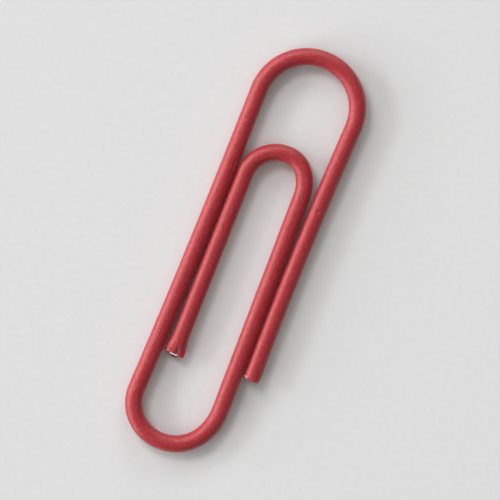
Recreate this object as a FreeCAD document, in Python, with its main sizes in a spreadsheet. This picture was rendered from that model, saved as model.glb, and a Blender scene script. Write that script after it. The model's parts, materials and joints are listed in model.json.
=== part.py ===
import FreeCAD, Part
import os
import math
import Sketcher

# A gem-shaped paper clip of plastic-coated steel wire, lying flat on Z = 0.
#
# The wire has four legs and three bends.  Read from end to end it is: the outer leg (free end at
# -Y), the large top bend (+Y), the long leg, the bottom bend (-Y), the tongue leg, the inner bend
# and the tip leg (free end at -Y).  The clip flexes at its bends, so it is built as four stretches
# that meet face to face at the highest point of each bend, where the wire runs along X:
#
#   long_leg    top bend (left half) + long leg + bottom bend (left half)
#   outer_leg   top bend (right half) + outer leg
#   tongue      bottom bend (right half) + tongue leg + inner bend (right half)
#   tip_leg     inner bend (left half) + tip leg
#
# Each stretch has two pieces: its steel core and the coating round it.
# X runs across the clip, Y along it and Z up; the origin is under the middle of the clip.

DIMENSIONS = {
    # overall
    "clip_length": 33.0,        # outside, top bend to bottom bend
    "top_width": 9.08,          # outside, across the top bend
    "wire_diameter": 1.3,       # over the coating
    "core_diameter": 0.9,       # the steel wire
    # how the legs stand
    "lower_flare": 0.19,        # the long leg's foot stands this much further out than its head
    "toe_in": 0.09,             # the outer leg's free end stands this much further in than its head
    "long_leg_sag": 0.094,      # how far the long leg bows in between its bends
    "outer_leg_sag": 0.15,      # how far the outer leg bows in
    # clearances between neighbouring legs, coating to coating
    "end_gap": 0.085,           # outer leg's free end to the tongue leg
    "tongue_gap": 0.32,         # the tongue leg's head, measured from the same free end
    "tip_gap": 0.08,            # long leg to the tip leg's head
    "pinch_gap": 0.165,         # long leg's foot line to the pinched free end
    # heights of the inner bend and of the two free ends
    "tongue_setback": 7.77,     # top bend down to the inner bend, centre to centre
    "outer_end_height": 6.87,   # outer leg's free end above the bottom bend's centre line
    "tip_end_height": 6.63,     # tip leg's free end above the same line
    "tongue_foot_drop": 4.58,   # foot of the tongue leg below the outer leg's free end
    # shapes of the two tighter bends: radii as shares of the span, and where the radius changes
    "crown_share": 0.5,
    "corner_share": 0.45,
    "corner_angle": 36,
    "shoulder_angle": 62,
    "inner_crown_share": 0.42,
    "inner_left_share": 0.54,
    "inner_angle": 60,
    # free ends: one cut square, one pinched off by a blade from above and below
    "core_recess": 0.06,        # core inside the square cut end
    "core_stub": 0.08,          # core standing out of the pinched end
    "pinch_length": 1.7,        # stretch over which the pinched end widens
    "pinch_spread": 0.19,       # how much wider it gets, each side
    "pinch_side_share": 0.45,   # radius of its rounded sides, as a share of the wire's diameter
    "pinch_root_share": 0.03,   # how far these stand from its middle where it starts to widen
    "bevel_length": 0.72,       # length of the bevels that the blades left
    "bevel_depth": 0.27,        # depth of each bevel at the cut
}

# Formulas of the sheet's cells, in the form that setExpression takes.
TOP_RADIUS = "(Dims.top_width - Dims.wire_diameter) / 2"
TOP_X = "Dims.lower_flare / 2"
TOP_Y = "(Dims.clip_length - Dims.wire_diameter) / 2"
BOTTOM_Y = "(Dims.wire_diameter - Dims.clip_length) / 2"
WIRE_Z = "Dims.wire_diameter / 2"

LONG_HEAD_X = f"({TOP_X} - {TOP_RADIUS})"
LONG_FOOT_X = f"({LONG_HEAD_X} - Dims.lower_flare)"
LONG_LEG_LENGTH = f"(Dims.clip_length - Dims.wire_diameter - 2 * {TOP_RADIUS})"
LONG_LEG_RADIUS = f"({LONG_LEG_LENGTH} ^ 2 / (8 * Dims.long_leg_sag))"

OUTER_END_X = f"({TOP_X} + {TOP_RADIUS} - Dims.toe_in)"
OUTER_END_Y = f"({BOTTOM_Y} + Dims.outer_end_height)"
OUTER_LEG_LENGTH = f"({TOP_Y} - {TOP_RADIUS} - {OUTER_END_Y})"
OUTER_LEG_RADIUS = f"({OUTER_LEG_LENGTH} ^ 2 / (8 * Dims.outer_leg_sag))"

TONGUE_LOW_X = f"({OUTER_END_X} - Dims.wire_diameter - Dims.end_gap)"
TONGUE_HIGH_X = f"({OUTER_END_X} - Dims.wire_diameter - Dims.tongue_gap)"
TIP_HIGH_X = f"({LONG_HEAD_X} + Dims.wire_diameter + Dims.tip_gap)"

INNER_SPAN = f"({TONGUE_HIGH_X} - {TIP_HIGH_X})"
INNER_LEFT_RADIUS = f"({INNER_SPAN} * Dims.inner_left_share)"
INNER_CROWN_RADIUS = f"({INNER_SPAN} * Dims.inner_crown_share)"
INNER_SINE = "sin(Dims.inner_angle * 1 deg)"
INNER_X = f"({TIP_HIGH_X} + {INNER_LEFT_RADIUS})"
INNER_Y = f"({TOP_Y} - Dims.tongue_setback)"
INNER_SHOULDER_RADIUS = (
    f"(({TONGUE_HIGH_X} - {INNER_X} - {INNER_CROWN_RADIUS} * {INNER_SINE}) / (1 - {INNER_SINE}))")

# The tongue leg leans out on its way down, so its foot lies further out than at the free end.
TONGUE_LEAN = (f"((Dims.tongue_gap - Dims.end_gap)"
               f" / ({INNER_Y} - {INNER_CROWN_RADIUS} - {OUTER_END_Y}))")
TONGUE_FOOT_X = f"({TONGUE_LOW_X} + {TONGUE_LEAN} * Dims.tongue_foot_drop)"

BOTTOM_SPAN = f"({TONGUE_FOOT_X} - {LONG_FOOT_X})"
CROWN_RADIUS = f"({BOTTOM_SPAN} * Dims.crown_share)"
CORNER_RADIUS = f"({BOTTOM_SPAN} * Dims.corner_share)"
CORNER_SINE = "sin(Dims.corner_angle * 1 deg)"
SHOULDER_SINE = "sin(Dims.shoulder_angle * 1 deg)"
BOTTOM_X = (f"({LONG_FOOT_X} + {CORNER_RADIUS} * (1 - {CORNER_SINE})"
            f" + {CROWN_RADIUS} * {CORNER_SINE})")
SHOULDER_RADIUS = (
    f"(({TONGUE_FOOT_X} - {BOTTOM_X} - {CROWN_RADIUS} * {SHOULDER_SINE}) / (1 - {SHOULDER_SINE}))")

TIP_END_X = (f"({LONG_FOOT_X} + Dims.wire_diameter + Dims.pinch_gap + Dims.pinch_spread)")
TIP_END_Y = f"({BOTTOM_Y} + Dims.tip_end_height)"
CUT_ALLOWANCE = "(Dims.wire_diameter / 4)"      # how far the wire ran on before it was nipped off
PINCH_ALLOWANCE = "(Dims.wire_diameter * 3 / 8)"    # how far its widened part did
BLADE_REACH = 1.5       # bevel lengths along which a blade's face runs on, to clear the wire

EAST, WEST = 0.0, 180.0         # headings, in degrees from +X
LEFT, RIGHT = 1, -1             # ways to turn
START, END, CENTRE = 1, 2, 3    # the points of a sketch's arc or line
ORIGIN = (-1, START)


def make_sheet(doc):
    sheet = doc.addObject("Spreadsheet::Sheet", "Dims")
    for row, (alias, value) in enumerate(DIMENSIONS.items(), start=1):
        sheet.set(f"A{row}", alias)
        sheet.set(f"B{row}", str(value))
        sheet.setAlias(f"B{row}", alias)
    doc.recompute()


def plane_of(body, role):
    for feature in body.Origin.OriginFeatures:
        if feature.Role == role:
            return feature
    raise ValueError(f"{body.Label} has no {role}")


def new_body(doc, label, x, y):
    """A body whose origin lies on the wire's centre line, where the stretch begins."""
    body = doc.addObject("PartDesign::Body", label)
    body.Label = label
    body.setExpression("Placement.Base.x", x)
    body.setExpression("Placement.Base.y", y)
    body.setExpression("Placement.Base.z", WIRE_Z)
    return body


def new_sketch(body, name, role, offset=None):
    sketch = body.newObject("Sketcher::SketchObject", name)
    sketch.AttachmentSupport = [(plane_of(body, role), "")]
    sketch.MapMode = "FlatFace"
    if offset:
        sketch.setExpression("AttachmentOffset.Base.z", offset)
    return sketch


def value_of(sketch, formula):
    result = sketch.evalExpression(formula)
    return float(getattr(result, "Value", result))


def bind(sketch, kind, geometry, formula):
    """Add a dimension to a sketch and bind it to a formula of the sheet's cells."""
    value = value_of(sketch, formula)
    if kind == "Angle":
        value = math.radians(value)
    index = sketch.addConstraint(Sketcher.Constraint(kind, *geometry, value))
    unit = " * 1 deg" if kind == "Angle" else ""
    sketch.setExpression(f"Constraints[{index}]", f"({formula}){unit}")


def draw_path(sketch, heading, runs, end_x, end_y):
    """Draw the wire's centre line from the sketch's origin as a chain of tangent runs.

    A run is (turn, radius formula, degrees, span formula) for an arc or (length formula,) for a
    straight leg.  The degrees only start the solver off; a span formula fixes them.
    """
    place = FreeCAD.Vector(0, 0, 0)
    way = math.radians(heading)
    joint = ORIGIN
    for run in runs:
        ahead = FreeCAD.Vector(math.cos(way), math.sin(way), 0)
        if len(run) == 1:
            after = place + ahead * value_of(sketch, run[0])
            number = sketch.addGeometry(Part.LineSegment(place, after), False)
            near, far = START, END
        else:
            turn, radius, degrees, span = run
            size = value_of(sketch, radius)
            centre = place + FreeCAD.Vector(-ahead.y, ahead.x, 0) * size * turn
            first = math.atan2(place.y - centre.y, place.x - centre.x)
            last = first + turn * math.radians(degrees)
            circle = Part.Circle(centre, FreeCAD.Vector(0, 0, 1), size)
            number = sketch.addGeometry(
                Part.ArcOfCircle(circle, min(first, last), max(first, last)), False)
            near, far = (START, END) if turn == LEFT else (END, START)
            after = centre + FreeCAD.Vector(math.cos(last), math.sin(last), 0) * size
            way += turn * math.radians(degrees)
            bind(sketch, "Radius", (number,), radius)
            if span:
                bind(sketch, "Angle", (number,), span)
        if joint == ORIGIN:
            sketch.addConstraint(Sketcher.Constraint("Coincident", number, near, *ORIGIN))
            sketch.addConstraint(Sketcher.Constraint("PointOnObject", number, CENTRE, -2))
        else:
            sketch.addConstraint(Sketcher.Constraint("Tangent", *joint, number, near))
        joint = (number, far)
        place = after
    bind(sketch, "DistanceX", (*ORIGIN, *joint), end_x)
    bind(sketch, "DistanceY", (*ORIGIN, *joint), end_y)
    return joint


def finish_upright(sketch, joint):
    """Make the last arc end along X: its centre stands straight above or below its end."""
    number, _ = joint
    sketch.addConstraint(Sketcher.Constraint("Vertical", *joint, number, CENTRE))


def draw_circle(sketch, diameter):
    circle = Part.Circle(FreeCAD.Vector(0, 0, 0), FreeCAD.Vector(0, 0, 1),
                         value_of(sketch, diameter) / 2)
    number = sketch.addGeometry(circle, False)
    sketch.addConstraint(Sketcher.Constraint("Coincident", number, CENTRE, *ORIGIN))
    bind(sketch, "Diameter", (number,), diameter)


def draw_slot(sketch, radius, middle_x, spread):
    """Draw a slot along the sketch's X axis: its two round ends stand "spread" off its middle."""
    size = value_of(sketch, radius)
    arcs = []
    for side, first in ((f"{middle_x} + {spread}", -math.pi / 2),
                        (f"{middle_x} - {spread}", math.pi / 2)):
        centre = FreeCAD.Vector(value_of(sketch, side), 0, 0)
        circle = Part.Circle(centre, FreeCAD.Vector(0, 0, 1), size)
        number = sketch.addGeometry(Part.ArcOfCircle(circle, first, first + math.pi), False)
        sketch.addConstraint(Sketcher.Constraint("PointOnObject", number, CENTRE, -1))
        bind(sketch, "DistanceX", (*ORIGIN, number, CENTRE), side)
        arcs.append(number)
    for near, far in (arcs, reversed(arcs)):
        start = sketch.getPoint(near, END)
        line = sketch.addGeometry(Part.LineSegment(start, sketch.getPoint(far, START)), False)
        sketch.addConstraint(Sketcher.Constraint("Tangent", near, END, line, START))
        sketch.addConstraint(Sketcher.Constraint("Tangent", line, END, far, START))
    sketch.addConstraint(Sketcher.Constraint("Equal", *arcs))
    bind(sketch, "Radius", (arcs[0],), radius)


def draw_outline(sketch, corners):
    """Draw a closed outline of straight lines through corners given as pairs of formulas."""
    points = [FreeCAD.Vector(value_of(sketch, x), value_of(sketch, y), 0) for x, y in corners]
    for index, point in enumerate(points):
        sketch.addGeometry(Part.LineSegment(point, points[(index + 1) % len(points)]), False)
    for index, (x, y) in enumerate(corners):
        before = (index - 1) % len(points)
        sketch.addConstraint(Sketcher.Constraint("Coincident", before, END, index, START))
        bind(sketch, "DistanceX", (*ORIGIN, index, START), x)
        bind(sketch, "DistanceY", (*ORIGIN, index, START), y)


def sweep(body, kind, name, section, path):
    pipe = body.newObject(f"PartDesign::{kind}", name)
    pipe.Profile = section
    pipe.Spine = path
    return pipe


# The centre line of each stretch, as draw_path takes it.  "recede" is the distance by which the
# free end of one piece stops short of the nominal cut, or runs past it if it is negative.
def long_leg_path(body, name):
    sketch = new_sketch(body, name, "XY_Plane")
    corner_turn = 90 - DIMENSIONS["corner_angle"]
    runs = [
        (LEFT, TOP_RADIUS, 90, None),
        (RIGHT, LONG_LEG_RADIUS, 2, None),
        (LEFT, CORNER_RADIUS, corner_turn, None),
        (LEFT, CROWN_RADIUS, DIMENSIONS["corner_angle"], "Dims.corner_angle"),
    ]
    joint = draw_path(sketch, WEST, runs, f"{BOTTOM_X} - {TOP_X}", f"{BOTTOM_Y} - {TOP_Y}")
    finish_upright(sketch, joint)
    return sketch


def outer_leg_path(body, name, recede="0"):
    sketch = new_sketch(body, name, "XY_Plane")
    runs = [
        (RIGHT, TOP_RADIUS, 92, None),
        (LEFT, OUTER_LEG_RADIUS, 3, None),
    ]
    draw_path(sketch, EAST, runs, f"{OUTER_END_X} - {TOP_X}",
              f"{OUTER_END_Y} - {TOP_Y} + {recede}")
    return sketch


def tongue_path(body, name):
    sketch = new_sketch(body, name, "XY_Plane")
    leg_length = f"({INNER_Y} - {BOTTOM_Y} - {CROWN_RADIUS} - {INNER_CROWN_RADIUS})"
    runs = [
        (LEFT, CROWN_RADIUS, DIMENSIONS["shoulder_angle"], "Dims.shoulder_angle"),
        (LEFT, SHOULDER_RADIUS, 91 - DIMENSIONS["shoulder_angle"], None),
        (leg_length,),
        (LEFT, INNER_SHOULDER_RADIUS, 89 - DIMENSIONS["inner_angle"], None),
        (LEFT, INNER_CROWN_RADIUS, DIMENSIONS["inner_angle"], "Dims.inner_angle"),
    ]
    joint = draw_path(sketch, EAST, runs, f"{INNER_X} - {BOTTOM_X}", f"{INNER_Y} - {BOTTOM_Y}")
    finish_upright(sketch, joint)
    return sketch


def tip_leg_path(body, name, recede="0"):
    sketch = new_sketch(body, name, "XY_Plane")
    runs = [
        (LEFT, INNER_LEFT_RADIUS, 90, None),
        (f"({INNER_Y} - {INNER_LEFT_RADIUS} - {TIP_END_Y})",),
    ]
    draw_path(sketch, WEST, runs, f"{TIP_END_X} - {INNER_X}",
              f"{TIP_END_Y} - {INNER_Y} + {recede}")
    return sketch


def pinch_end(body):
    """Widen the tip leg's free end, where the blades squeezed the coating out to both sides."""
    root_spread = "(Dims.wire_diameter * Dims.pinch_root_share)"
    cut_spread = "(Dims.wire_diameter * (0.5 - Dims.pinch_side_share) + Dims.pinch_spread)"
    rim_spread = f"({cut_spread} * (1 + {PINCH_ALLOWANCE} / Dims.pinch_length))"
    sections = []
    for place, height, spread in (("root", "Dims.pinch_length", root_spread),
                                  ("rim", f"(-{PINCH_ALLOWANCE})", rim_spread)):
        sketch = new_sketch(body, f"pinch_{place}", "XZ_Plane",
                            f"{INNER_Y} - {TIP_END_Y} - {height}")
        draw_slot(sketch, "Dims.wire_diameter * Dims.pinch_side_share",
                  f"({TIP_END_X} - {INNER_X})", spread)
        sections.append(sketch)
    loft = body.newObject("PartDesign::AdditiveLoft", "pinch")
    loft.Profile = sections[0]
    loft.Sections = [sections[1]]


def nip_end(body, stub="0"):
    """Nip off the tip leg's free end: blades from above and below leave a bevel each."""
    sketch = new_sketch(body, "blades_outline", "YZ_Plane")
    cut = f"({TIP_END_Y} - {INNER_Y} - {stub})"
    heel = f"({cut} + {BLADE_REACH} * Dims.bevel_length)"
    edge_height = "(Dims.wire_diameter / 2 - Dims.bevel_depth)"
    heel_height = f"({edge_height} + {BLADE_REACH} * Dims.bevel_depth)"
    past = f"({cut} - Dims.wire_diameter)"
    upper = [(past, "Dims.wire_diameter"), (heel, "Dims.wire_diameter"),
             (heel, heel_height), (cut, edge_height)]
    lower = [(y, f"(-{z})") for y, z in reversed(upper)]
    draw_outline(sketch, upper + lower)
    blades = body.newObject("PartDesign::Pocket", "blades")
    blades.Profile = sketch
    blades.Type = "ThroughAll"
    blades.Midplane = True


def coating(doc, label, x, y, draw, shape_end=None):
    body = new_body(doc, label, x, y)
    outside = new_sketch(body, "outside_section", "YZ_Plane")
    draw_circle(outside, "Dims.wire_diameter")
    sweep(body, "AdditivePipe", "skin", outside, draw(body, "skin_path"))
    if shape_end:
        shape_end(body)
    inside = new_sketch(body, "inside_section", "YZ_Plane")
    draw_circle(inside, "Dims.core_diameter")
    sweep(body, "SubtractivePipe", "hollow", inside, draw(body, "hollow_path"))
    return body


def core(doc, label, x, y, draw, shape_end=None):
    body = new_body(doc, label, x, y)
    section = new_sketch(body, "section", "YZ_Plane")
    draw_circle(section, "Dims.core_diameter")
    sweep(body, "AdditivePipe", "wire", section, draw(body, "path"))
    if shape_end:
        shape_end(body)
    return body


def pinch_and_nip(body):
    pinch_end(body)
    nip_end(body)


def nip_core(body):
    nip_end(body, "Dims.core_stub")


def tip_path_to_nip(body, name):
    return tip_leg_path(body, name, f"-{CUT_ALLOWANCE}")


def outer_core_path(body, name):
    return outer_leg_path(body, name, "Dims.core_recess")


def build(doc):
    make_sheet(doc)
    top = (TOP_X, TOP_Y)
    bottom = (BOTTOM_X, BOTTOM_Y)
    inner = (INNER_X, INNER_Y)
    return [
        coating(doc, "long_leg_coating", *top, long_leg_path),
        core(doc, "long_leg_core", *top, long_leg_path),
        coating(doc, "outer_leg_coating", *top, outer_leg_path),
        core(doc, "outer_leg_core", *top, outer_core_path),
        coating(doc, "tongue_coating", *bottom, tongue_path),
        core(doc, "tongue_core", *bottom, tongue_path),
        coating(doc, "tip_leg_coating", *inner, tip_path_to_nip, pinch_and_nip),
        core(doc, "tip_leg_core", *inner, tip_path_to_nip, nip_core),
    ]


def check(doc, bodies):
    for item in doc.Objects:
        if "Invalid" in item.State or "Error" in item.State:
            raise RuntimeError(f"{item.Label} failed: {item.State}")
    for body in bodies:
        shape = body.Shape
        if shape.isNull() or not shape.isValid() or len(shape.Solids) != 1:
            raise RuntimeError(f"{body.Label} is not one valid solid")


document = FreeCAD.newDocument("paper_clip")
pieces = build(document)
document.recompute()
check(document, pieces)
os.makedirs("parts", exist_ok=True)
for piece in pieces:
    piece.Shape.exportStep(f"parts/{piece.Label}.step")
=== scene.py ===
import json
import math

import bpy
import numpy as np
from mathutils import Matrix, Vector, noise


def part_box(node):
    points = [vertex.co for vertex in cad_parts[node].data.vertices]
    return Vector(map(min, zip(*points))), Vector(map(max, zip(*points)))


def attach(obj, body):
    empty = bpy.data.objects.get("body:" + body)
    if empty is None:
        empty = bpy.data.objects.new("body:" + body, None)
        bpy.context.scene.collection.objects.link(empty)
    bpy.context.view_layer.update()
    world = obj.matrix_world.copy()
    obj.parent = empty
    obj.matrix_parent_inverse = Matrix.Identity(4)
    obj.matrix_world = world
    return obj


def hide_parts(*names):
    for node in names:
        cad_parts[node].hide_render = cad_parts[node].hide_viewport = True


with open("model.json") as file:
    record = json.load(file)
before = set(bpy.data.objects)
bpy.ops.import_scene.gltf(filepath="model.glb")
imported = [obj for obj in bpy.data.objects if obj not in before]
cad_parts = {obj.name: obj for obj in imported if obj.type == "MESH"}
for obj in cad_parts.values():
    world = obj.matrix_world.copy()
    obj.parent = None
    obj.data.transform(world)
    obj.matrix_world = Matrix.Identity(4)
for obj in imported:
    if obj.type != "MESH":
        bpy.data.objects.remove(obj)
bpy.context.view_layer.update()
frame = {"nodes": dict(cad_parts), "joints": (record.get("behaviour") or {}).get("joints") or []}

# The clip is one steel wire in a red plastic coating.  The frame splits it at the crown of each
# bend into four stretches.  This script lays a finely meshed coating on each stretch, works the
# two free ends as they are on the real thing, with painted shade and painted highlights in their
# colour, and lights it mostly from a window on its left.
# Sizes are in millimetres here, as in the frame's own source, and meshes are made in metres.
MM = 0.001

# The driving sizes of the centre line, under the names that the frame's own source gives them.
SIZES = {
    "top_width": 9.08,
    "lower_flare": 0.19,
    "long_leg_sag": 0.094,
    "outer_leg_sag": 0.15,
    "toe_in": 0.09,
    "end_gap": 0.085,
    "tongue_gap": 0.32,
    "tip_gap": 0.08,
    "pinch_gap": 0.165,
    "pinch_spread": 0.19,
    "outer_end_height": 6.87,
    "tip_end_height": 6.63,
    "tongue_foot_drop": 4.58,
    "crown_share": 0.5,
    "corner_share": 0.45,
    "corner_angle": 36,
    "shoulder_angle": 62,
    "inner_crown_share": 0.42,
    "inner_left_share": 0.54,
    "inner_angle": 60,
}
EAST, WEST = 0.0, math.pi       # headings, in radians from +X
LEFT, STRAIGHT, RIGHT = 1, 0, -1

RING_STEP = 0.05                # distance between the rings of a tube
FINE_STEP = 0.02                # the same where a free end is worked
FINE_REACH = {"outer_leg": 1.0, "tip_leg": 2.0}
AROUND = 96                     # vertices in a ring of the coating
STUB_AROUND = 64                # and of the nipped-off steel
SEAM_LENGTH = 0.6               # over which the relief falls to nothing before a seam
SIDE_THICKENING = 0.015         # how much further the coating stands out at its sides
BORE_SHARE = 1.004              # the coating's bore and the stub, as shares of the steel's radius
STUB_SHARE = 0.99
# tints of the ends: fresh plastic, painted shade in a crease and painted highlights
TINTS = ("fresh", "crease_shade", "pale")

# The outer leg's free end: lengths in millimetres back from the cut.  A "side" is a place across
# the wire and a width, as shares of its radius, towards the clip's right.
SQUARE_END = {
    "slant": 0.095,             # how far the cut stands ahead at the wire's right side
    "slant_reach": 0.80,
    "ridge": 0.026,             # a low ridge round the wire, and its place and half width
    "ridge_back": (0.15, 0.12),
    "rounding": 0.085,          # how much the rim is rounded over
    "rounding_reach": 0.13,
    "wear": 0.060,              # the worn right-hand corner
    "wear_reach": 0.40,
    "wear_side": (0.35, 0.60),
    "tear": 0.080,              # the notch torn in beside that corner
    "tear_back": (0.27, 0.09),
    "tear_side": (0.80, 0.30),
    "lip_back": (0.17, 0.05),   # the freshly cut lip, with the width of its soft edge
    "lip_side": (-0.60, 0.25),
    "torn_reach": 0.34,
    "torn_side": (0.30, 0.40),
    "glint_back": (0.20, 0.08),  # painted highlight: a pale glint at the left-hand corner
    "glint_side": (-0.72, 0.30),
}

# The tip leg's free end, in the same terms.
PINCHED_END = {
    "length": 0.80,             # over which the blades pressed the wire flat
    "top_side": (-0.10, 0.20),  # heights over which the top's shapes set in
    "flare": 0.25,              # how much wider the end gets, as a share
    "flare_reach": 1.75,
    "flare_power": 1.25,
    "crush": 0.26,              # how much lower it gets, as a share
    "crease_depth": 0.075,      # the crease in the top, which widens towards the cut
    "crease_back": (1.105, 0.85),
    "crease_left": 0.05,
    "crease_left_drift": 0.02,
    "crease_left_wall": 0.08,
    "crease_right": 0.08,
    "crease_right_drift": 0.26,
    "crease_right_wall": 0.05,
    "crease_right_slope": 0.15,
    "pleat": 0.035,             # small pleats left of the crease
    "pleat_rate": 34,           # radians per millimetre across
    "pleat_place": (-0.34, 0.28),
    "pleat_reach": 0.35,
    "tuck": 0.06,               # how much the rim is turned in
    "tuck_reach": 0.06,
    "top_lip": 0.025,           # how far the coating stands ahead above, below and at the right
    "lower_lip": 0.29,
    "lower_lip_steepness": 1.3,
    "lower_lip_side": (0.05, 1.10),
    "right_lip": 0.12,
    "right_lip_side": (1.05, 0.50),
    "lip_reach": 0.30,
    "fresh_reach": 0.75,        # freshly squeezed plastic on the right
    "fresh_side": (0.40, 0.22),
    "rim_reach": 0.07,
    "rim_strength": 0.8,
    "highlight_reach": 0.32,        # painted highlight on the tops of the pleats
    "highlight_rise": 0.02,
    "highlight_strength": 0.45,
}
PINCHED_LOBES = [
    # height, place and half width across, reach back
    (0.045, 0.85, 0.45, 0.45),
    (0.050, -0.70, 0.40, 0.40),
]

# The steel that shows in the pinched end.
NIP = {
    "height": 0.28,             # its flattened top above the wire's centre line
    "slope": 0.25,              # how steeply that top rises towards the clip's right
    "bore_gap": 0.01,
    "lower_squeeze": 0.45,      # how much its underside is pressed in, as a share
    "widening": 0.08,
    "ahead": 0.130,             # how far it stands out
    "ahead_reach": 0.20,
    "ahead_side": (-0.37, 0.07),
    "cap_shares": (0.92, 0.75, 0.5, 0.25),
    "cap_dome": 0.02,
}


# --- the centre line ------------------------------------------------------------------------

def walk(start, heading, runs, step=None):
    """Follow runs of (turn, radius, amount); an arc's amount is its angle, a straight's its length.

    Returns points and headings, at every step or only at the end.
    """
    place = np.array(start, float)
    points = [place]
    ways = [heading]
    for turn, radius, amount in runs:
        length = amount * radius if turn else amount
        count = max(1, math.ceil(length / step)) if step else 1
        way = ways[-1]
        place = points[-1]
        for share in np.arange(1, count + 1) / count:
            if turn:
                angle = way + turn * amount * share
                side = turn * radius
                points.append(place + side * np.array([math.sin(angle) - math.sin(way),
                                                       math.cos(way) - math.cos(angle)]))
                ways.append(angle)
            else:
                ahead = np.array([math.cos(way), math.sin(way)])
                points.append(place + ahead * length * share)
                ways.append(way)
    return np.array(points), np.array(ways)


def settle(start, heading, runs, free, end, last_heading=None):
    """Find the free amounts that bring the last point to "end", and the last heading if given.

    The amounts in "runs" are the first guesses.
    """
    tries, nudge, close_enough = 40, 1e-6, 1e-10
    amounts = np.array([run[2] for run in runs], float)

    def miss(values):
        trial = [(turn, radius, value) for (turn, radius, _), value in zip(runs, values)]
        points, ways = walk(start, heading, trial)
        gap = list(points[-1] - end)
        if last_heading is not None:
            gap.append(ways[-1] - last_heading)
        return np.array(gap)

    for _ in range(tries):
        gap = miss(amounts)
        slopes = []
        for index in free:
            nudged = amounts.copy()
            nudged[index] += nudge
            slopes.append((miss(nudged) - gap) / nudge)
        change = np.linalg.lstsq(np.array(slopes).T, -gap, rcond=None)[0]
        amounts[free] += change
        if np.abs(change).max() < close_enough:
            break
    return [(turn, radius, value) for (turn, radius, _), value in zip(runs, amounts)]


def centre_lines(radius, apexes):
    """The four stretches' centre lines as (points, headings), each from its first apex."""
    s = SIZES
    wire = 2 * radius
    top_radius = (s["top_width"] - wire) / 2
    top, bottom, inner = (apexes[name] for name in ("top_bend", "bottom_bend", "inner_bend"))
    head_x = top[0] - top_radius
    foot_x = head_x - s["lower_flare"]
    long_length = top[1] - bottom[1] - 2 * top_radius
    outer_end = np.array([top[0] + top_radius - s["toe_in"], bottom[1] + s["outer_end_height"]])
    outer_length = top[1] - top_radius - outer_end[1]
    tongue_high = outer_end[0] - wire - s["tongue_gap"]
    tongue_low = outer_end[0] - wire - s["end_gap"]
    tip_high = head_x + wire + s["tip_gap"]
    tip_end = np.array([foot_x + wire + s["pinch_gap"] + s["pinch_spread"],
                        bottom[1] + s["tip_end_height"]])

    inner_span = tongue_high - tip_high
    inner_crown = inner_span * s["inner_crown_share"]
    inner_left = inner_span * s["inner_left_share"]
    inner_angle = math.radians(s["inner_angle"])
    inner_sine = math.sin(inner_angle)
    inner_shoulder = (tongue_high - inner[0] - inner_crown * inner_sine) / (1 - inner_sine)
    lean = (s["tongue_gap"] - s["end_gap"]) / (inner[1] - inner_crown - outer_end[1])
    tongue_foot = tongue_low + lean * s["tongue_foot_drop"]

    span = tongue_foot - foot_x
    crown = span * s["crown_share"]
    corner = span * s["corner_share"]
    corner_angle = math.radians(s["corner_angle"])
    shoulder_angle = math.radians(s["shoulder_angle"])
    shoulder_sine = math.sin(shoulder_angle)
    shoulder = (tongue_foot - bottom[0] - crown * shoulder_sine) / (1 - shoulder_sine)
    quarter = math.pi / 2
    long_sag_radius = long_length ** 2 / (8 * s["long_leg_sag"])
    outer_sag_radius = outer_length ** 2 / (8 * s["outer_leg_sag"])

    long_runs = settle(top, WEST, [
        (LEFT, top_radius, quarter),
        (RIGHT, long_sag_radius, 0.03),
        (LEFT, corner, quarter - corner_angle),
        (LEFT, crown, corner_angle),
    ], [0, 1, 2], bottom, WEST + math.pi)
    outer_runs = settle(top, EAST, [
        (RIGHT, top_radius, quarter),
        (LEFT, outer_sag_radius, 0.06),
    ], [0, 1], outer_end)
    tongue_runs = settle(bottom, EAST, [
        (LEFT, crown, shoulder_angle),
        (LEFT, shoulder, quarter - shoulder_angle),
        (STRAIGHT, 1, inner[1] - bottom[1] - crown - inner_crown),
        (LEFT, inner_shoulder, quarter - inner_angle),
        (LEFT, inner_crown, inner_angle),
    ], [1, 2, 3], inner, EAST + math.pi)
    tip_runs = settle(inner, WEST, [
        (LEFT, inner_left, quarter),
        (STRAIGHT, 1, inner[1] - inner_left - tip_end[1]),
    ], [0, 1], tip_end)
    return {
        "long_leg": walk(top, WEST, long_runs, RING_STEP),
        "outer_leg": walk(top, EAST, outer_runs, RING_STEP),
        "tongue": walk(bottom, EAST, tongue_runs, RING_STEP),
        "tip_leg": walk(inner, WEST, tip_runs, RING_STEP),
    }


# --- the coating's surface ------------------------------------------------------------------

def smooth(value):
    value = np.clip(value, 0.0, 1.0)
    return value * value * (3 - 2 * value)


def bump(value, middle, half_width):
    """A soft hill of height 1 round "middle"."""
    return smooth(1 - np.abs(value - middle) / half_width)


def fade(back, reach):
    """1 at the cut, and softly down to 0 at "reach" back from it."""
    return smooth(1 - back / reach)


def past(value, start, width):
    """0 up to "start", and softly up to 1 over "width"."""
    return smooth((value - start) / width)


def short_of(value, end, width):
    """0 from "end" on, and softly up to 1 over "width" before it."""
    return smooth((end - value) / width)


# Unevenness of the coating, as (height, rate per millimetre), and where the relief starts above
# the underside, which lies true on the table: (height from the centre line, width of its edge).
UNEVENNESS = [(0.0050, 0.9), (0.0022, 3.1)]
UNDERSIDE = (-0.75, 0.50)

# Small marks in the coating: X, Y of the place seen from above, how far it reaches along and
# across the wire, and its depth, which is negative where a scrape has raised a burr.
NICKS = [
    (-3.42, 5.80, 0.70, 0.07, 0.050),
    (-3.54, 5.70, 0.60, 0.06, -0.022),
    (3.86, 4.84, 0.08, 0.12, 0.090),
    (-3.36, -15.45, 0.30, 0.09, 0.030),
    (-4.05, 7.60, 0.25, 0.06, 0.018),
    (4.20, 12.10, 0.16, 0.10, 0.022),
    (-3.60, -3.20, 0.35, 0.05, 0.015),
    (2.55, -4.90, 0.28, 0.05, 0.016),
    (1.20, -15.35, 0.20, 0.08, 0.018),
    (3.75, 1.30, 0.14, 0.06, 0.015),
]


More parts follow.
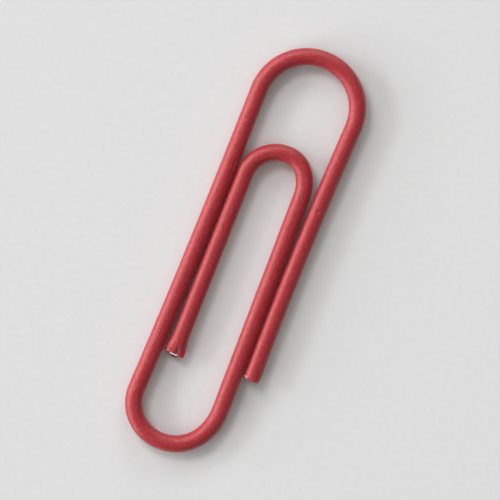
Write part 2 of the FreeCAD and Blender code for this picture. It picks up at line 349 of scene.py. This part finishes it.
def relief(x, y, z, ways, ends, radius):
    """How far the outer wall stands proud of the true round, at points given as ring arrays.

    The coating is a little thicker at its sides than on top.  The relief falls to nothing at the
    ends of a stretch, so that stretches meet without a step.
    """
    height = SIDE_THICKENING * (1 - (z / radius) ** 2) ** 2
    for ring, point in np.ndenumerate(x):
        place = Vector((point, y[ring], z[ring]))
        height[ring] += sum(rise * noise.noise(place * rate) for rise, rate in UNEVENNESS)
    for nick_x, nick_y, along, across, depth in NICKS:
        ahead = (x - nick_x) * np.cos(ways) + (y - nick_y) * np.sin(ways)
        aside = -(x - nick_x) * np.sin(ways) + (y - nick_y) * np.cos(ways)
        rim = np.exp(-(ahead / along) ** 2 - (aside / across) ** 2)
        height -= depth * rim * (z > 0)
    return height * ends * past(z, *UNDERSIDE)


def square_cut(back, side, up, radius):
    """The outer leg's free end: cut a little aslant, with a lip torn at one corner and a painted
    highlight at the other.

    "back" is the distance from the cut and "side" is positive towards the clip's right.  Returns
    how far each point moves sideways, up and ahead, in millimetres, and the coating's tints.
    """
    s = SQUARE_END
    right = side / radius
    ahead = s["slant"] * right * fade(back, s["slant_reach"])
    ridge = s["ridge"] * bump(back, *s["ridge_back"])
    rounding = s["rounding"] * np.clip(1 - back / s["rounding_reach"], 0, 1) ** 2
    wear = s["wear"] * fade(back, s["wear_reach"]) * past(right, *s["wear_side"])
    tear = s["tear"] * bump(back, *s["tear_back"]) * bump(right, *s["tear_side"])
    scale = (ridge - rounding - wear - tear) / radius
    lift = np.where((up < 0) & (scale > 0), 0, up * scale)
    lip = short_of(back, *s["lip_back"]) * past(right, *s["lip_side"])
    torn = fade(back, s["torn_reach"]) * past(right, *s["torn_side"])
    # painted highlight: the top of the left-hand corner is painted paler, as a glint
    painted_glint = short_of(back, *s["glint_back"]) * bump(right, *s["glint_side"]) * (up > 0)
    return side * scale, lift, ahead, {"fresh": np.maximum(lip, torn), "pale": painted_glint}


def pinched_cut(back, side, up, radius):
    """The tip leg's free end, squeezed flat and wide by a blade from above and one from below."""
    s = PINCHED_END
    right = side / radius
    above = past(up, *s["top_side"])
    press = fade(back, s["length"])
    flare = s["flare"] * fade(back, s["flare_reach"]) ** s["flare_power"]
    reach = short_of(back, *s["crease_back"])
    left_edge = s["crease_left"] - s["crease_left_drift"] * press
    right_edge = s["crease_right"] + s["crease_right_drift"] * reach
    right_wall = s["crease_right_wall"] + s["crease_right_slope"] * reach
    crease = past(side, left_edge, s["crease_left_wall"]) * short_of(side, right_edge, right_wall)
    pleats = s["pleat"] * np.cos(side * s["pleat_rate"]) * bump(side, *s["pleat_place"])
    pleats = pleats * fade(back, s["pleat_reach"])
    lobes = sum(height * bump(right, place, half_width) * fade(back, lobe_reach)
                for height, place, half_width, lobe_reach in PINCHED_LOBES)
    tuck = s["tuck"] * np.clip(1 - back / s["tuck_reach"], 0, 1) ** 2
    shaped_top = (pleats + lobes - s["crease_depth"] * crease * reach) * above
    rise = shaped_top - up * (s["crush"] * press + tuck)

    below = smooth(-s["lower_lip_steepness"] * up / radius)
    lower_lip = s["lower_lip"] * below * bump(right, *s["lower_lip_side"])
    right_lip = s["right_lip"] * bump(right, *s["right_lip_side"])
    ahead = (s["top_lip"] + lower_lip + right_lip) * fade(back, s["lip_reach"])

    squeezed = fade(back, s["fresh_reach"]) * past(right, *s["fresh_side"])
    rim = s["rim_strength"] * fade(back, s["rim_reach"]) * above
    # painted highlight: the tops of the pleats are painted paler
    pleat_highlight = smooth(pleats / s["highlight_rise"]) * fade(back, s["highlight_reach"])
    tints = {
        "fresh": np.maximum(squeezed, rim),
        # painted shade: the crease is painted a darker grey-purple
        "crease_shade": crease * reach * above,
        "pale": s["highlight_strength"] * pleat_highlight * above,
    }
    return side * (flare - tuck), rise, ahead, tints


def nip_top(side):
    """Height of the steel's flattened top in the pinched end, above the centre line."""
    return NIP["height"] + NIP["slope"] * side


def pinched_bore(back, side, up, radius):
    """The bore inside the pinched end, pressed down with the steel in it."""
    drop = np.minimum(0, nip_top(side) + NIP["bore_gap"] - up)
    return 0 * side, drop * fade(back, PINCHED_END["length"]), 0 * side, {}


def no_cut(back, side, up, radius):
    """An end that is left as it is."""
    return 0 * side, 0 * side, 0 * side, {}


class Tube:
    """A round tube's points along a line, as arrays of (ring, place in ring)."""

    def __init__(self, line, radius, around):
        points, ways = line
        steps = np.linalg.norm(np.diff(points, axis=0), axis=1)
        self.along = np.concatenate([[0.0], np.cumsum(steps)])
        turn = np.arange(around) * 2 * math.pi / around
        flat = np.zeros((len(points), around))
        self.side = radius * np.cos(turn) + flat
        self.up = radius * np.sin(turn) + flat
        self.back = (self.along[-1] - self.along)[:, None] + flat
        self.way = ways[:, None] + flat
        self.east = points[:, :1] + flat
        self.north = points[:, 1:] + flat

    def places(self, ahead=0.0):
        """X and Y of every point, moved ahead along the wire."""
        sine, cosine = np.sin(self.way), np.cos(self.way)
        east = self.east - sine * self.side + cosine * ahead
        north = self.north + cosine * self.side + sine * ahead
        return east, north


def rings(line, radius, work_end, with_relief):
    """Vertices (ring, place in ring, XYZ) of one wall of the coating, and its tints."""
    tube = Tube(line, radius, AROUND)
    if with_relief:
        to_seam = np.minimum(tube.along, tube.along[-1] - tube.along)
        ends = smooth(to_seam / SEAM_LENGTH)[:, None]
        proud = relief(*tube.places(), tube.up, tube.way, ends, radius)
        tube.side = tube.side * (1 + proud / radius)
        tube.up = tube.up * (1 + proud / radius)
    side_move, up_move, ahead, tints = work_end(tube.back, tube.side, tube.up, radius)
    tube.side = tube.side + side_move
    return np.stack([*tube.places(ahead), tube.up + up_move], axis=-1), tints


def finer_end(line, reach):
    """The same line with more rings over its last stretch."""
    points, ways = line
    back = np.linalg.norm(points - points[-1], axis=1)
    first = int(np.argmax(back < reach))
    count = math.ceil(reach / FINE_STEP)
    shares = np.linspace(0, 1, count + 1)[1:]
    spread = points[first] + (points[-1] - points[first]) * shares[:, None]
    turned = ways[first] + (ways[-1] - ways[first]) * shares
    return np.vstack([points[:first + 1], spread]), np.concatenate([ways[:first + 1], turned])


def tube_faces(ring_count, around, offset, flip):
    """Faces between each ring and the next, from the vertex numbered "offset"."""
    faces = []
    for ring in range(ring_count - 1):
        for place in range(around):
            beside = (place + 1) % around
            corners = [offset + ring * around + place, offset + ring * around + beside,
                       offset + (ring + 1) * around + beside, offset + (ring + 1) * around + place]
            faces.append(corners[::-1] if flip else corners)
    return faces


def show(name, data):
    """Put an object with this data in the scene."""
    thing = bpy.data.objects.new(name, data)
    bpy.context.scene.collection.objects.link(thing)
    return thing


def show_mesh(name, vertices, faces, sharp_angle):
    """The same with a new mesh, from vertices in millimetres."""
    mesh = bpy.data.meshes.new(name)
    mesh.from_pydata((vertices * MM).tolist(), [], faces)
    mesh.shade_smooth()
    mesh.set_sharp_from_angle(angle=math.radians(sharp_angle))
    return show(name, mesh)


def make_coating(name, line, radius, bore, height, work_end, work_bore):
    """A closed tube: outer wall, bore and the two ring-shaped end faces."""
    outer, tints = rings(line, radius, work_end, True)
    inner, _ = rings(line, bore, work_bore, False)
    ring_count = len(outer)
    count = ring_count * AROUND
    vertices = np.concatenate([outer.reshape(-1, 3), inner.reshape(-1, 3)])
    vertices[:, 2] += height
    faces = tube_faces(ring_count, AROUND, 0, False)
    faces += tube_faces(ring_count, AROUND, count, True)
    for ring, flip in ((0, True), (ring_count - 1, False)):
        start = ring * AROUND
        for place in range(AROUND):
            beside = (place + 1) % AROUND
            corners = [start + place, start + beside, count + start + beside, count + start + place]
            faces.append(corners[::-1] if flip else corners)
    piece = show_mesh(name, vertices, faces, sharp_angle=50)
    plain = np.zeros(count)
    for label in TINTS:
        layer = piece.data.attributes.new(label, "FLOAT", "POINT")
        layer.data.foreach_set("value", np.concatenate([tints.get(label, plain).ravel(), plain]))
    return piece


# --- materials ------------------------------------------------------------------------------

VINYL = {
    "dark": (0.310, 0.005, 0.016),
    "light": (0.465, 0.014, 0.028),
    "cloud": (0.390, 0.015, 0.024),
    "dust": (0.620, 0.200, 0.200),
    "fresh": (0.520, 0.006, 0.018),
    # painted shade in the pinched end's crease
    "crease_shade": (0.170, 0.060, 0.085),
    # painted highlight: the glint at the square end's corner and the tops of the pleats
    "pale": (0.820, 0.380, 0.380),
}
STEEL = {
    "dark": (0.74, 0.73, 0.71),
    "light": (0.92, 0.91, 0.89),
}
PAPER = {
    "dark": (0.690, 0.690, 0.690),
    "light": (0.725, 0.725, 0.722),
    "cloud": (0.700, 0.702, 0.704),
}


class Nodes:
    """A material's node tree, with a short way to add nodes and join them."""

    def __init__(self, name):
        self.material = bpy.data.materials.new(name)
        self.material.use_nodes = True
        self.tree = self.material.node_tree
        self.tree.nodes.clear()
        self.shader = self.add("ShaderNodeBsdfPrincipled")
        output = self.add("ShaderNodeOutputMaterial")
        self.link(self.shader.outputs["BSDF"], output.inputs["Surface"])
        self.place = self.add("ShaderNodeTexCoord").outputs["Object"]

    def add(self, kind, **settings):
        node = self.tree.nodes.new(kind)
        for name, value in settings.items():
            setattr(node, name, value)
        return node

    def link(self, source, target):
        self.tree.links.new(source, target)

    def noise(self, size_mm, detail=2.0, roughness=0.5):
        """Noise whose features are about size_mm across."""
        node = self.add("ShaderNodeTexNoise")
        self.link(self.place, node.inputs["Vector"])
        node.inputs["Scale"].default_value = 1 / (size_mm * MM)
        node.inputs["Detail"].default_value = detail
        node.inputs["Roughness"].default_value = roughness
        node.inputs["Distortion"].default_value = 0.0
        return node.outputs["Fac"]

    def ramp(self, value, low, high, to_low=0.0, to_high=1.0):
        """Map "low" to "high" of a value onto another range, and no further."""
        node = self.add("ShaderNodeMapRange")
        self.link(value, node.inputs["Value"])
        for name, number in (("From Min", low), ("From Max", high),
                             ("To Min", to_low), ("To Max", to_high)):
            node.inputs[name].default_value = number
        return node.outputs["Result"]

    def mix(self, factor, first, second):
        """From the first colour to the second; each is three numbers or a socket."""
        node = self.add("ShaderNodeMix", data_type="RGBA")
        factor_input, first_input, second_input = (node.inputs[index] for index in (0, 6, 7))
        self.link(factor, factor_input)
        for socket, colour in ((first_input, first), (second_input, second)):
            if isinstance(colour, tuple):
                socket.default_value = (*colour, 1.0)
            else:
                self.link(colour, socket)
        return node.outputs[2]      # the colour; the first two are a number and a vector

    def times(self, value, share):
        node = self.add("ShaderNodeMath", operation="MULTIPLY")
        self.link(value, node.inputs[0])
        node.inputs[1].default_value = share
        return node.outputs[0]

    def attribute(self, name):
        return self.add("ShaderNodeAttribute", attribute_name=name).outputs["Fac"]

    def set(self, **values):
        """Set the shader's own inputs; an underscore stands for a space."""
        for name, value in values.items():
            self.shader.inputs[name.replace("_", " ")].default_value = value

    def grain(self, value, height_mm, under=None):
        """A normal with the value as small hills, on top of the normal "under"."""
        node = self.add("ShaderNodeBump")
        node.inputs["Strength"].default_value = 1.0
        node.inputs["Distance"].default_value = height_mm * MM
        self.link(value, node.inputs["Height"])
        if under is not None:
            self.link(under, node.inputs["Normal"])
        return node.outputs["Normal"]


def coating_material():
    """Satin red vinyl, slightly see-through, speckled and a little dusty, with painted shade and
    highlights at the ends.
    """
    m = Nodes("red_vinyl")
    speckle = m.ramp(m.noise(0.085, 1.0, 0.6), 0.36, 0.64)
    clouds = m.ramp(m.noise(1.6, 3.0, 0.55), 0.32, 0.68)
    dust = m.ramp(m.noise(0.070, 0.0), 0.64, 0.74)
    red = m.mix(speckle, VINYL["dark"], VINYL["light"])
    red = m.mix(m.times(clouds, 0.35), red, VINYL["cloud"])
    red = m.mix(m.times(dust, 0.35), red, VINYL["dust"])
    # the ends' tints: fresh plastic, painted shade in the crease and painted highlights
    for tint in TINTS:
        red = m.mix(m.attribute(tint), red, VINYL[tint])
    m.link(red, m.shader.inputs["Base Color"])
    m.link(m.ramp(m.noise(0.35, 3.0, 0.6), 0.3, 0.7, 0.35, 0.46), m.shader.inputs["Roughness"])
    m.set(IOR=1.60, Specular_Tint=(1.0, 0.96, 0.90, 1.0))
    m.set(Sheen_Weight=0.25, Sheen_Roughness=0.35, Sheen_Tint=(1.0, 0.95, 0.90, 1.0))
    m.set(Subsurface_Weight=0.35, Subsurface_Radius=(1.0, 0.12, 0.10), Subsurface_Scale=0.35 * MM)
    fine = m.grain(m.noise(0.10, 1.0, 0.6), 0.030)
    m.link(m.grain(m.noise(0.30, 2.0, 0.5), 0.016, under=fine), m.shader.inputs["Normal"])
    return m.material


def steel_material():
    """Bright steel, dull and slightly rough where it was sheared."""
    m = Nodes("sheared_steel")
    tone = m.ramp(m.noise(0.16, 3.0, 0.6), 0.35, 0.65)
    m.link(m.mix(tone, STEEL["dark"], STEEL["light"]), m.shader.inputs["Base Color"])
    m.set(Metallic=1.0)
    m.link(m.ramp(m.noise(0.08, 2.0), 0.3, 0.7, 0.34, 0.52), m.shader.inputs["Roughness"])
    m.link(m.grain(m.noise(0.05, 2.0, 0.7), 0.004), m.shader.inputs["Normal"])
    return m.material


def paper_material():
    """Plain pale paper with faint fibres and clouds."""
    m = Nodes("pale_paper")
    fibres = m.ramp(m.noise(0.5, 4.0, 0.6), 0.3, 0.7)
    clouds = m.ramp(m.noise(9.0, 2.0, 0.5), 0.3, 0.7)
    pale = m.mix(fibres, PAPER["dark"], PAPER["light"])
    pale = m.mix(m.times(clouds, 0.4), pale, PAPER["cloud"])
    m.link(pale, m.shader.inputs["Base Color"])
    m.set(Roughness=0.85, Specular_IOR_Level=0.2)
    m.link(m.grain(m.noise(0.30, 4.0, 0.6), 0.010), m.shader.inputs["Normal"])
    return m.material


# --- the steel where it shows ---------------------------------------------------------------

def make_stub(name, line, radius, height):
    """The tip leg's steel, nipped off: flattened above and below, and blunt at its end."""
    tube = Tube(line, radius, STUB_AROUND)
    squeeze = fade(tube.back, PINCHED_END["length"])
    drop = np.minimum(0, nip_top(tube.side) - tube.up) * squeeze
    up = np.where(tube.up > 0, tube.up + drop, tube.up * (1 - NIP["lower_squeeze"] * squeeze))
    tube.side = tube.side * (1 + NIP["widening"] * squeeze)
    ahead = NIP["ahead"] * past(tube.side, *NIP["ahead_side"]) * fade(tube.back, NIP["ahead_reach"])
    wall = np.stack([*tube.places(ahead), up], axis=-1)
    rim = wall[-1]
    middle = rim.mean(0)
    caps = [middle + (rim - middle) * share - [0, NIP["cap_dome"] * (1 - share), 0]
            for share in NIP["cap_shares"]]
    wall = np.concatenate([wall, np.array(caps)])
    vertices = wall.reshape(-1, 3)
    vertices[:, 2] += height
    faces = tube_faces(len(wall), STUB_AROUND, 0, False)
    first = list(range(STUB_AROUND))
    last = list(range(len(vertices) - STUB_AROUND, len(vertices)))
    faces += [first[::-1], last]
    return show_mesh(name, vertices, faces, sharp_angle=35)


# --- building the clip ----------------------------------------------------------------------

low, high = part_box("long_leg_coating")
radius = (high.z - low.z) / 2 / MM
height = (high.z + low.z) / 2 / MM
core_low, core_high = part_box("tongue_core")
core_radius = (core_high.z - core_low.z) / 2 / MM
apexes = {joint["name"]: np.array(joint["pos_m"][:2]) / MM for joint in frame["joints"]}
lines = centre_lines(radius, apexes)
for stretch, reach in FINE_REACH.items():
    lines[stretch] = finer_end(lines[stretch], reach)

vinyl = coating_material()
steel = steel_material()
WORK = {
    # stretch: how the coating's outer wall and its bore are worked at its last end
    "long_leg": (no_cut, no_cut),
    "outer_leg": (square_cut, no_cut),
    "tongue": (no_cut, no_cut),
    "tip_leg": (pinched_cut, pinched_bore),
}
for stretch, (work_end, work_bore) in WORK.items():
    skin = make_coating(f"{stretch}_skin", lines[stretch], radius, core_radius * BORE_SHARE,
                        height, work_end, work_bore)
    skin.data.materials.append(vinyl)
    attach(skin, stretch)
    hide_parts(f"{stretch}_coating")
for stretch in ("long_leg", "outer_leg", "tongue"):
    core = frame["nodes"][f"{stretch}_core"]
    core.data.materials.clear()
    core.data.materials.append(steel)
stub = make_stub("tip_leg_steel", lines["tip_leg"], core_radius * STUB_SHARE, height)
stub.data.materials.append(steel)
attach(stub, "tip_leg")
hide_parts("tip_leg_core")


# --- floor, light and camera ----------------------------------------------------------------

LAMP_DISTANCE = 1.5             # metres, as are the lamps' sizes
LAMP_COLOUR = (0.985, 1.0, 1.03)
ROOM_COLOUR = (1.0, 0.965, 0.915)
LAMPS = [
    # name, azimuth from +X towards +Y, elevation, width, length, power in watts
    ("window", 187, 22, 0.75, 0.22, 8.6),
    ("window_sill", 187, 10, 0.75, 0.22, 4.3),
    ("window_far_side", 147, 25, 0.62, 0.35, 4.9),
    ("window_far_top", 147, 45, 0.62, 0.35, 6.8),
    ("window_near_sill", 227, 10, 0.62, 0.35, 6.0),
    ("window_near_side", 227, 25, 0.62, 0.35, 3.6),
    ("far_wall", 97, 22, 0.75, 0.50, 6.1),
]
# Soft light from the room, in bands: (elevation from which, strength).  The sky straight above is
# dark, because the camera stands there.
ROOM_BANDS = [(0, 0.0), (20, 0.31), (45, 0.70), (68, 0.0)]


def make_floor(half_size):
    mesh = bpy.data.meshes.new("floor")
    corners = [(x * half_size, y * half_size, 0) for x, y in ((-1, -1), (1, -1), (1, 1), (-1, 1))]
    mesh.from_pydata(corners, [], [(0, 1, 2, 3)])
    mesh.materials.append(paper_material())
    show("floor", mesh)


def make_lamp(name, azimuth, elevation, width, length, power):
    """A rectangular lamp that shines on the middle of the clip."""
    lamp = bpy.data.lights.new(name, "AREA")
    lamp.shape = "RECTANGLE"
    lamp.size = width
    lamp.size_y = length
    lamp.energy = power
    lamp.color = LAMP_COLOUR
    turn = math.radians(azimuth)
    rise = math.radians(elevation)
    away = Vector((math.cos(turn) * math.cos(rise), math.sin(turn) * math.cos(rise),
                   math.sin(rise)))
    light = show(name, lamp)
    light.location = away * LAMP_DISTANCE
    light.rotation_mode = "QUATERNION"
    light.rotation_quaternion = (-away).to_track_quat("-Z", "Y")


def make_room():
    world = bpy.data.worlds.new("room")
    world.use_nodes = True
    tree = world.node_tree
    axes = tree.nodes.new("ShaderNodeSeparateXYZ")
    tree.links.new(tree.nodes.new("ShaderNodeTexCoord").outputs["Generated"], axes.inputs[0])
    ramp = tree.nodes.new("ShaderNodeValToRGB")
    ramp.color_ramp.interpolation = "CONSTANT"
    stops = ramp.color_ramp.elements
    stops.remove(stops[1])
    for index, (elevation, strength) in enumerate(ROOM_BANDS):
        height = math.sin(math.radians(elevation))
        stop = stops.new(height) if index else stops[0]
        stop.position = height
        stop.color = (*(strength * share for share in ROOM_COLOUR), 1.0)
    tree.links.new(axes.outputs["Z"], ramp.inputs["Fac"])
    tree.links.new(ramp.outputs["Color"], tree.nodes["Background"].inputs["Color"])
    bpy.context.scene.world = world


def make_camera(aim_x, aim_y, across_mm, lean, lens, sensor=36.0):
    """Look straight down, with the clip's top leaning "lean" degrees to the right of upright."""
    data = bpy.data.cameras.new("camera")
    data.lens = lens
    data.sensor_width = sensor
    distance = across_mm * lens / sensor * MM
    data.clip_start = distance * 0.1
    data.clip_end = 10
    camera = show("camera", data)
    place = Vector((aim_x * MM, aim_y * MM, distance))
    camera.matrix_world = Matrix.Translation(place) @ Matrix.Rotation(math.radians(lean), 4, "Z")
    bpy.context.scene.camera = camera


make_floor(half_size=3.0)
for settings in LAMPS:
    make_lamp(*settings)
make_room()
make_camera(aim_x=0.130, aim_y=0.241, across_mm=38.33, lean=21.83, lens=200)
bpy.context.scene.view_settings.view_transform = "Standard"
